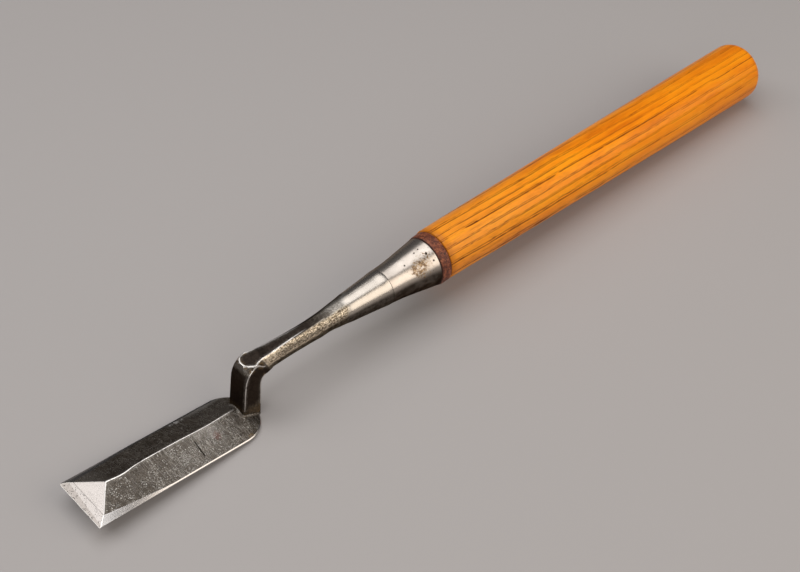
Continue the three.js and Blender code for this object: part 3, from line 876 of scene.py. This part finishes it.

    # Rust lies in the corners, the inner corners are darkened, painted shade and dark specks darken the
    # neck, wear brightens the arrises, and the bevel is honed up to its own.
    rust = p.step(p.sum_of(0, mottle, 0.8, p.step(nook, 2.6, 0.2), 0.42), 0.64, 0.86)
    rust = p.times(rust, p.step(p.x, 56, 62), p.invert(turned))
    foot = p.times(crank, p.step(p.z, 8.0, 3.0), p.step(fine, 0.42, 0.56))
    broken = p.step(p.noise(0.9, None, 3, 0.7, 0, 47), 0.32, 0.5)
    wear = p.times(p.step(arris, 0.3, 0.06), p.sum_of(0.35, broken, 0.6))
    crest = p.times(crank, p.step(p.z, 23.4, 24.0), p.step(p.x, 72.5, 71.5), p.step(arris, 0.5, 0.12))
    wear = p.times(p.most(wear, crest), p.invert(dull))
    honed = p.mix(p.times(fine, 0.4), (0.4, 0.374, 0.36), (0.36, 0.335, 0.322))
    honed = p.mix(p.times(p.step(slow, 0.45, 0.75), 0.4), honed, (0.32, 0.295, 0.281))
    metal = p.over(
        metal,
        (p.times(rust, 0.6), p.mix(fine, (0.11, 0.06, 0.022), (0.3, 0.2, 0.085))),
        (p.step(nook, 0.4, 0.05), (0.03, 0.024, 0.02)),
        # Painted shade under the neck and flare, with dark specks higher up.
        (p.times(shade_and_specks, p.sum_of(0.8, p.step(mottle, 0.4, 0.6), 0.16)), (0.026, 0.018, 0.013)),
        (p.times(foot, 0.7), (0.24, 0.165, 0.085)),
        (wear, (0.85, 0.81, 0.77)),
        (bevel, honed),
    )

    rough = p.sum_of(0.3, mottle, 0.12, grit, 0.08, cover, 0.1)
    rough = p.blend(filed, rough, p.sum_of(0.24, fine, 0.12))
    rough = p.blend(turned, rough, p.sum_of(0.23, fine, 0.08))
    rough = p.blend(p.most(bevel, p.times(bright, 0.8)), rough, p.sum_of(0.18, fine, 0.1))
    rough = p.blend(wear, rough, 0.24)
    rough = p.blend(shade_and_specks, rough, 0.45)

    rings = p.noise(1.0, p.stretch((6.0, 0.25, 0.25)), 3, 0.65, 0.0, 53)
    file_cut = p.noise(1.0, p.stretch((2.2, 1.6, 1.6)), 3, 0.75, 0.6, 59)
    smooth = p.most(turned, bevel)
    relief = p.bump(p.sum_of(0, mottle, 0.6, fine, 0.3), 0.07, p.blend(smooth, 0.5, 0.07))
    relief = p.bump(marks, -0.02, 0.6, relief)
    relief = p.bump(gouge, -0.15, 0.8, relief)
    relief = p.bump(p.times(file_cut, filed), 0.14, 0.7, relief)
    relief = p.bump(p.times(rings, turned), 0.012, 0.5, relief)
    p.surface(Specular_Tint=(0.4, 0.36, 0.32), Metallic=1.0)
    return p.surface(Base_Color=metal, Roughness=rough, Normal=relief)


FERRULE_RADIUS = 8.5  # about the middle of its length
FERRULE_PITS = (  # along the shank, degrees from the top, size
    (74.5, -8, 0.42),
    (76.75, -6, 0.4),
    (78.0, -26, 0.5),
    (79.0, -48, 0.4),
    (68.3, -22, 0.4),
)


def turned_steel():
    """The ferrule: satin turned steel with pits, an old stain, and painted shade darkening its underside."""
    p = Paint("turned_steel", SHANK)
    fine = p.noise(3.0, None, 3, 0.6, 0.0, 61)
    slow = p.noise(0.2, None, 3, 0.55, 0.3, 62)
    around = p.times(p.math("ARCTAN2", p.y, p.z), FERRULE_RADIUS)
    height = p.math("DIVIDE", p.z, p.length(p.y, p.z))
    # Painted shade: the lower part is darkened, standing in for a dark reflection there.
    painted_shade_below = p.times(p.step(height, 0.47, 0.15), p.sum_of(0.87, p.step(slow, 0.4, 0.6), 0.13))

    ragged = p.step(p.noise(0.6, None, 4, 0.75, 0.8, 64), 0.42, 0.5)
    broken = p.step(p.noise(1.5, None, 3, 0.6, 0.3, 66), 0.5, 0.57)
    stain = p.times(blot(p, 73.0, -7.4, 4.3, 63, p.x, around), ragged)
    stain = p.most(stain, p.times(blot(p, 77.0, -5.0, 3.2, 65, p.x, around), broken))
    stain_tone = p.step(p.noise(1.6, None, 3, 0.6, 0, 68), 0.44, 0.6)
    pits = specks(p, 0.9, 0.16, 0.52, 69)
    for x, degrees, size in FERRULE_PITS:
        place = math.radians(degrees) * FERRULE_RADIUS
        pits = p.most(pits, blot(p, x, place, size, 67 + size, p.x, around))
    lip = p.most(p.step(p.x, MOUTH - 0.35, MOUTH - 0.05), p.step(p.x, JOINT + 0.18, JOINT + 0.1))
    metal = p.over(
        p.mix(p.step(slow, 0.35, 0.7), (0.6, 0.535, 0.475), (0.5, 0.44, 0.385)),
        (p.times(p.step(fine, 0.5, 0.75), 0.3), (0.36, 0.33, 0.3)),
        # Painted shade over the lower part.
        (p.times(painted_shade_below, 0.96), (0.03, 0.021, 0.015)),
        (p.times(stain, 0.9), p.mix(stain_tone, (0.15, 0.085, 0.04), (0.4, 0.27, 0.14))),
        (pits, (0.06, 0.045, 0.035)),
        (p.times(lip, 0.8), (0.08, 0.065, 0.05)),
    )
    rough = p.sum_of(0.22, fine, 0.08, stain, 0.14, pits, 0.3, slow, 0.05)
    rough = p.blend(painted_shade_below, rough, 0.42)
    rings = p.noise(1.0, p.stretch((6.5, 0.2, 0.2)), 3, 0.6, 0.0, 71)
    relief = p.bump(rings, 0.018, 0.5)
    relief = p.bump(stain, -0.03, 0.5, relief)
    relief = p.bump(pits, -0.15, 0.9, relief)
    p.surface(Specular_Tint=(0.32, 0.27, 0.23), Metallic=1.0)
    return p.surface(Base_Color=metal, Roughness=rough, Normal=relief)


def leather():
    """The washer: stacked red-brown leather, burnished on the rim and dirty against the steel."""
    p = Paint("washer_leather", SHANK)
    fibre = p.noise(1.0, p.stretch((5.0, 1.2, 1.2)), 4, 0.7, 0.5, 73)
    mottle = p.noise(0.9, None, 4, 0.65, 0.3, 74)
    grain = p.cells(2.6, p.stretch((1.3, 1, 1)))
    reds = (0.48, (0.035, 0.008, 0.004)), (0.55, (0.16, 0.034, 0.014)), (0.63, (0.34, 0.11, 0.045))
    dust = p.step(p.noise(2.4, None, 3, 0.6, 0, 75), 0.6, 0.72)
    front = p.step(p.x, MOUTH + 0.6, MOUTH + 0.12)
    back = p.step(p.x, HANDLE_START - 0.5, HANDLE_START - 0.1)
    skin = p.over(
        p.ramp(p.sum_of(0, fibre, 0.6, mottle, 0.5), *reds),
        (p.times(p.step(grain, 0.3, 0.12), 0.5), (0.04, 0.012, 0.008)),
        (p.times(dust, 0.45), (0.36, 0.2, 0.14)),
        (p.times(p.most(front, p.times(back, 0.8)), 0.8), (0.022, 0.008, 0.006)),
    )
    rough = p.sum_of(0.42, mottle, 0.2, dust, 0.15)
    relief = p.bump(p.sum_of(0, fibre, 0.7, grain, 0.4), 0.12, 0.7)
    p.surface(Specular_IOR_Level=0.4)
    return p.surface(Base_Color=skin, Roughness=rough, Normal=relief)


PITH = (-57.0, -40.0)  # y and z of the tree's heart, outside the handle
RING_SPACING = 2.9
RUN_OUT = math.tan(math.radians(1.8))  # the grain crosses the handle's axis at this slope


def oak():
    """Varnished ring-porous oak: growth rings cut nearly along the grain, open pores as dark dashes."""
    p = Paint("varnished_oak", SHANK)
    level_y = p.sum_of(p.y, p.x, RUN_OUT * 0.8)
    level_z = p.sum_of(p.z, p.x, -RUN_OUT * 0.5)
    sway = p.times(p.minus(p.noise(0.013, None, 2, 0.5, 0, 81), 0.5), 4.0)
    ripple = p.times(p.minus(p.noise(1.0, p.stretch((0.05, 0.45, 0.45)), 3, 0.6, 0, 82), 0.5), 0.8)
    radius = p.length(p.plus(level_y, -PITH[0], sway), p.plus(level_z, -PITH[1]))
    lane = p.add("ShaderNodeCombineXYZ", X=p.times(radius, 0.17)).outputs[0]
    uneven = p.times(p.minus(p.noise(1.0, lane, 2, 0.5, 0, 90), 0.5), 1.5)
    year = p.plus(p.math("DIVIDE", p.plus(radius, ripple), RING_SPACING), uneven)
    phase = p.math("FRACT", year)
    count = p.math("FLOOR", year)
    chance = p.add("ShaderNodeTexWhiteNoise", dict(noise_dimensions="1D"), W=count).outputs["Value"]
    strength = p.sum_of(0.35, chance, 0.65)
    early = p.times(p.step(phase, 0.0, 0.05), p.step(phase, 0.5, 0.2))
    late = p.times(p.step(phase, 0.5, 0.9), p.step(phase, 1.0, 0.95))
    line = p.times(p.step(phase, 0.0, 0.02), p.step(phase, 0.11, 0.07), strength)
    second = p.times(p.step(phase, 0.2, 0.23), p.step(phase, 0.295, 0.26), strength)

    # Pores: long thin cells, dense in the early wood of each ring.
    grain_space = p.add("ShaderNodeCombineXYZ", X=p.times(p.x, 0.06), Y=level_y, Z=level_z).outputs[0]
    pores = p.noise(2.7, grain_space, 2.5, 0.65, 0.1, 83)
    thin = p.noise(3.4, grain_space, 3.0, 0.65, 0.1, 84)
    broken = p.noise(1.0, p.stretch((0.07, 0.5, 0.5)), 3, 0.6, 0, 85)
    patchy = p.noise(1.0, p.stretch((0.02, 0.2, 0.2)), 2, 0.5, 0, 89)
    dense = p.sum_of(0.4, p.step(p.x, 230, 130), 0.6)
    streaks = p.times(line, p.step(broken, 0.36, 0.46), p.step(pores, 0.22, 0.4))
    extra = p.times(second, p.step(broken, 0.62, 0.5), p.step(pores, 0.34, 0.46))
    dashes = p.times(p.step(pores, 0.6, 0.64), p.sum_of(0.25, early, 0.75), p.step(patchy, 0.3, 0.55))
    share = p.sum_of(0.3, early, 0.3, p.step(patchy, 0.45, 0.65), 0.4)
    hairs = p.times(p.step(thin, 0.54, 0.6), share)
    lines = p.sum_of(0, streaks, 2.0, extra, 1.3, dashes, 0.8, hairs, 0.5)
    dark = p.math("MINIMUM", 1.0, p.times(lines, dense))

    slow = p.noise(1.0, p.stretch((0.02, 0.13, 0.13)), 3, 0.55, 0.3, 86)
    flame = p.noise(1.0, p.stretch((0.06, 0.35, 0.35)), 3, 0.6, 0.4, 87)
    ambers = (0.36, (0.72, 0.18, 0.003)), (0.5, (0.94, 0.29, 0.004)), (0.64, (1.0, 0.37, 0.008))
    rays = p.noise(1.0, p.stretch((0.5, 2.4, 0.7), (0.6, 0, 0)), 2, 0.5, 0, 88)
    wood = p.over(
        p.ramp(p.sum_of(0, slow, 0.6, flame, 0.4), *ambers),
        (p.times(early, 0.15), (0.6, 0.16, 0.006)),
        (p.times(late, 0.2), (1.0, 0.39, 0.015)),
        (p.times(p.step(p.x, 170, 90), 0.35), (0.9, 0.41, 0.06)),
        (p.times(p.step(p.x, 190, 262), 0.16), (0.5, 0.12, 0.003)),
        (dark, (0.085, 0.013, 0.0015)),
        (p.times(p.step(p.x, HANDLE_START + 4, HANDLE_START), 0.45), (0.25, 0.06, 0.008)),
        (p.times(p.step(rays, 0.66, 0.74), 0.25), (0.95, 0.5, 0.06)),
    )

    rough = p.sum_of(0.36, dark, 0.25, flame, 0.08)
    relief = p.bump(dark, -0.04, 0.5)
    relief = p.bump(flame, 0.1, 0.25, relief)
    p.surface(Coat_Weight=0.25, Coat_Roughness=0.16, Coat_IOR=1.35, Coat_Tint=(1.0, 0.8, 0.5))
    p.surface(Specular_IOR_Level=0.12, Coat_Normal=p.bump(flame, 0.12, 0.2))
    return p.surface(Base_Color=wood, Roughness=rough, Normal=relief)


# ---- Where the surfaces differ, stored on the points of the metal meshes ----
def local_points(obj, place):
    """Positions and normals of an object's points in a working frame, in millimetres."""
    mesh = obj.data
    spots = np.empty(len(mesh.vertices) * 3)
    mesh.vertices.foreach_get("co", spots)
    normals = np.empty(len(mesh.vertices) * 3)
    mesh.vertices.foreach_get("normal", normals)
    back = np.array(place.inverted())
    spots = spots.reshape(-1, 3) @ back[:3, :3].T + back[:3, 3]
    normals = normals.reshape(-1, 3) @ np.array(place)[:3, :3] / MM
    return spots, normals


def store(obj, name, values):
    layer = obj.data.attributes.new(name, "FLOAT", "POINT")
    layer.data.foreach_set("value", np.ascontiguousarray(values, np.float32))


def edge_distances(obj, place, skip, sharpness=40.0, least=3.5):
    """Distance in millimetres from every point to the nearest arris, and to the nearest inner corner."""
    spots, _ = local_points(obj, place)
    work = bmesh.new()
    work.from_mesh(obj.data)
    arrises, corners = [], []
    for edge in work.edges:
        if len(edge.link_faces) != 2:
            continue
        length = edge.calc_length() / MM
        if length < 0.01:
            continue
        angle = math.degrees(edge.calc_face_angle_signed(0.0))
        width = sum(face.calc_area() for face in edge.link_faces) / MM**2 / length / 2
        if abs(angle) < least or abs(angle) / max(width, 0.03) < sharpness:
            continue
        a, b = (spots[v.index] for v in edge.verts)
        if skip(*((a + b) / 2)):
            continue
        steps = max(2, int(length / 0.12))
        dots = [a + (b - a) * i / steps for i in range(steps + 1)]
        (arrises if angle > 0 else corners).extend(dots)
    work.free()
    found = []
    for dots in (arrises, corners):
        tree = KDTree(len(dots))
        for index, dot in enumerate(dots):
            tree.insert(dot, index)
        tree.balance()
        found.append(np.array([min(tree.find(spot)[2], 4.0) if dots else 4.0 for spot in spots]))
    return found


def ease(value, low, high):
    t = np.clip((value - low) / (high - low), 0, 1)
    return t * t * (3 - 2 * t)


def unworn_iron(x, y, z):
    """Edges of the iron that stay dark: weld line, foot, left of the front, underside of the neck."""
    on_blade = x < 73 and z < weld_height(x) + 0.12
    foot = 63.2 < x < 73 and abs(y) < 5.2 and z < 5.6
    front = 63.5 < x < 67.2 and 5.4 < z < 24.2 and y > -3.9
    facet = 66.2 < x < 69.7 and -3.95 < y < -1.2 and z < 24.35
    under_neck = x > 73.6 and z < SHANK_HEIGHT + (x - BLADE_LENGTH) * math.tan(SHANK_RISE) + 1.4
    return on_blade or foot or front or facet or under_neck


def mark_iron(obj):
    spots, normals = local_points(obj, TOOL)
    arris, nook = edge_distances(obj, TOOL, unworn_iron)
    x, y, z = spots.T
    nx, ny, nz = normals.T
    above_blade = z > upper_surface(np.minimum(x, BLADE_LENGTH), y) + 0.1
    upright = (x > COLUMN["front"] - 0.3) & (np.abs(y) < 4.6) & above_blade
    off_blade = (upright | (x > 72.6)).astype(float)
    ragged = wobble(x * 0.2, y * 2 + z * 2, 14, 2.2, 2.4) - 2.5 * ease(ny, -0.6, 0.5)
    turned = ease(x + ragged, 109.8, 112.6) * off_blade
    left, up = ease(ny, -0.1, 0.25), ease(nz, 0.8, 0.93)
    neck_side = ease(x + 0.55 * (z - 20.5), 74.4, 76.2)
    filed = off_blade * (1 - turned) * neck_side * (1 - 0.9 * left) * (1 - 0.9 * up)
    facet = 0.62 - 0.06 * ease(x, 22, 44) + 0.12 * ease(x, 52, 62)
    far = 0.24 * ease(y, 8.5, 11.5) * ease(x, 30, 56) + 0.16 * ease(-x, -16, -8)
    blade_scale = np.where(left > 0.5, 0.67 - far - 0.08 * ease(x, 38, 58), facet)
    front = ease(-nx, 0.4, 0.7)
    # The crank's front face gets the blackest scale: forge scale, and painted shade standing in for the dark
    # reflection that face shows.
    column = 0.84 + 0.16 * front - 0.22 * ease(-z, -9, -4) - 0.5 * front * ease(z, 20.2, 22.8)
    top = 0.9 - 0.45 * ease(x, 90, 110)
    neck = np.where(up > 0.5, top, np.where(left > 0.5, 0.84 - 0.3 * ease(x, 94, 112), 0.22))
    neck = np.where(nz < -0.35, 0.62 - 0.4 * ease(x, 90, 108), neck)
    neck = np.where((up < 0.5) & (left < 0.5), column + (neck - column) * neck_side, neck)
    crank = np.where((x > 71) | ((z > 23.5) & (up > 0.5)), neck, column)
    scale = np.where(off_blade > 0.5, crank * (1 - turned), blade_scale)
    dull = np.where(off_blade > 0.5, ease(x, 86, 95), np.where(left > 0.5, 0.75, 0.0))
    dull = np.where((off_blade < 0.5) & (x > 61), 0.7, dull)
    marks = dict(scale=scale, filed=filed, turned=turned, crank=off_blade, arris=arris, nook=nook, dull=dull)
    for name, values in marks.items():
        store(obj, name, values)


def mark_steel(obj):
    arris, _ = edge_distances(obj, TOOL, lambda x, y, z: abs(z - weld_height(x)) < 0.08 or z < 0.01)
    store(obj, "arris", arris)


# ---- The pieces ----
iron = unite(iron_blade(), crank_and_neck())
iron.name = "forged_iron_body_detail"
steel = steel_blade()
mark_iron(iron)
mark_steel(steel)

PIECES = (
    (steel, "cutting_steel", hard_steel()),
    (iron, "forged_iron_body", forged_iron()),
    (ferrule(), "conical_ferrule", turned_steel()),
    (washer(), "leather_washer", leather()),
    (handle(), "oak_handle", oak()),
)
for piece, node, paint in PIECES:
    piece.data.materials.clear()
    piece.data.materials.append(paint)
    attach(piece, "root")
    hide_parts(node)

# ---- Floor, lights and camera ----
FLOOR_REACH = 3.0
corners = [(x * FLOOR_REACH, y * FLOOR_REACH, 0) for x, y in ((-1, -1), (1, -1), (1, 1), (-1, 1))]
floor_mesh = bpy.data.meshes.new("floor")
floor_mesh.from_pydata(corners, [], [(0, 1, 2, 3)])
floor = bpy.data.objects.new("floor", floor_mesh)
bpy.context.scene.collection.objects.link(floor)
floor_paint = bpy.data.materials.new("floor")
floor_paint.use_nodes = True
floor_shader = floor_paint.node_tree.nodes["Principled BSDF"]
floor_shader.inputs["Base Color"].default_value = (0.4, 0.376, 0.368, 1)
floor_shader.inputs["Roughness"].default_value = 0.7
floor_mesh.materials.append(floor_paint)


def softbox(name, place, aim, width, height, radiance, colour=(1, 1, 1)):
    """A rectangular soft light of an even brightness, facing aim."""
    light = bpy.data.lights.new(name, "AREA")
    light.shape, light.size, light.size_y = "RECTANGLE", width, height
    light.energy = radiance * math.pi * width * height
    light.color = colour
    obj = bpy.data.objects.new(name, light)
    obj.location = place
    obj.rotation_euler = (Vector(aim) - Vector(place)).to_track_quat("-Z", "Y").to_euler()
    bpy.context.scene.collection.objects.link(obj)


softbox("overhead", (-0.2, 0.185, 1.0), (-0.2, 0.185, 0), 1.4, 1.07, 1.95)
softbox("beyond_the_edge", (-0.78, 0.98, 1.0), (-0.3, 0.1, 0), 0.8, 0.6, 1.9, (1, 0.97, 0.93))
softbox("right", (0.443, -0.834, 0.58), (0, 0, 0.03), 1.06, 0.9, 2.0, (1, 0.92, 0.82))
softbox("front", (-0.95, -0.9, 0.75), (0, 0, 0), 1.5, 0.9, 1.1, (1, 0.97, 0.94))

world = bpy.data.worlds.new("studio")
bpy.context.scene.world = world
world.use_nodes = True
world.node_tree.nodes["Background"].inputs["Color"].default_value = (0.08, 0.08, 0.085, 1)

CAMERA_AIM = Vector((-0.035, -0.0012, 0.015))
CAMERA_DISTANCE = 0.491
CAMERA_HEADING = math.radians(47.27)
CAMERA_DOWN = math.radians(44.31)
LENS = 59.0

camera = bpy.data.objects.new("camera", bpy.data.cameras.new("camera"))
bpy.context.scene.collection.objects.link(camera)
camera.data.lens = LENS
camera.data.sensor_width = 36.0
level = math.cos(CAMERA_DOWN)
look = Vector((level * math.cos(CAMERA_HEADING), level * math.sin(CAMERA_HEADING), -math.sin(CAMERA_DOWN)))
camera.location = CAMERA_AIM - look * CAMERA_DISTANCE
camera.rotation_euler = look.to_track_quat("-Z", "Y").to_euler()
camera.data.clip_start = 0.01
bpy.context.scene.camera = camera
bpy.context.scene.view_settings.view_transform = "Standard"
